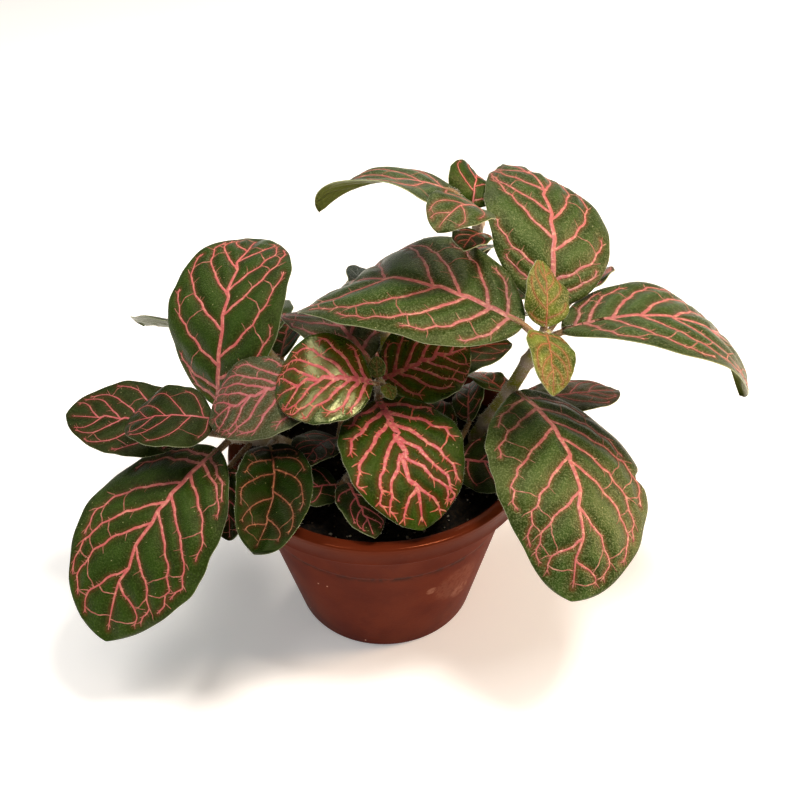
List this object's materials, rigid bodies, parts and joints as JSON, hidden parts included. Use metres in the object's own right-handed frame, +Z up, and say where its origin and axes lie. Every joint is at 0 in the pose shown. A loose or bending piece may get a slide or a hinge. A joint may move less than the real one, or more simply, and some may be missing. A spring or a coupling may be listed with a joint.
{
  "type": "potted nerve plant",
  "caption": "Bushy nerve plant with broad, net-veined leaves on branching shoots, growing in a round plastic nursery pot filled with soil.",
  "frame": {"origin": "centre of the pot's flat underside, on the surface that the pot stands on", "axes": "+Z up the pot's axis, +X to the right and -Y to the front as the plant is usually seen"},
  "size_m": [0.2273, 0.1541, 0.1678],
  "materials": {
    "pot_plastic": "satin",
    "soil": "matte",
    "stem": "matte",
    "leaf": "satin",
    "young_leaf": "satin",
    "leaf_vein": "satin",
    "hair": "matte"
  },
  "bodies": {
    "root": {"pot": "pot_plastic", "soil": "soil", "shoot_right": "stem", "leaf_right_front": "leaf", "leaf_right_back": "leaf", "leaf_right_small": "leaf", "leaf_top_left": "leaf", "leaf_top_back": "leaf", "leaf_top_right": "leaf", "leaf_top_hidden": "leaf", "young_leaf_up": "young_leaf", "young_leaf_down": "young_leaf", "shoot_tall": "stem", "leaf_rear_low": "leaf", "leaf_rear_middle": "leaf", "leaf_rear_right": "leaf", "leaf_rear_upper": "leaf", "leaf_tall_left": "leaf", "leaf_tall_back": "leaf", "leaf_tall_front": "leaf", "leaf_tall_low": "leaf", "shoot_left": "stem", "leaf_left_tall": "leaf", "leaf_left_outer": "leaf", "leaf_left_inner": "leaf", "leaf_left_front": "leaf", "leaf_left_rim": "leaf", "shoot_back_left": "stem", "leaf_rear_corner": "leaf", "leaf_edge": "leaf", "leaf_behind": "leaf", "shoot_inner_left": "stem", "leaf_inner_left": "leaf", "leaf_shade": "leaf", "shoot_middle": "stem", "leaf_middle_left": "leaf", "leaf_middle_right": "leaf", "leaf_middle_front": "leaf", "bud_leaf_up": "young_leaf", "bud_leaf_down": "young_leaf", "shoot_back": "stem", "leaf_rear_left": "leaf", "leaf_back_left": "leaf", "leaf_back_right": "leaf", "leaf_back_top": "leaf", "shoot_front_left": "stem", "leaf_hanging": "leaf", "shoot_front": "stem", "leaf_front_small": "leaf", "leaf_front_left": "leaf", "shoot_low_right": "stem", "leaf_low_front": "leaf", "leaf_low_up": "leaf", "leaf_low_left": "leaf"}
  },
  "joints": []
}
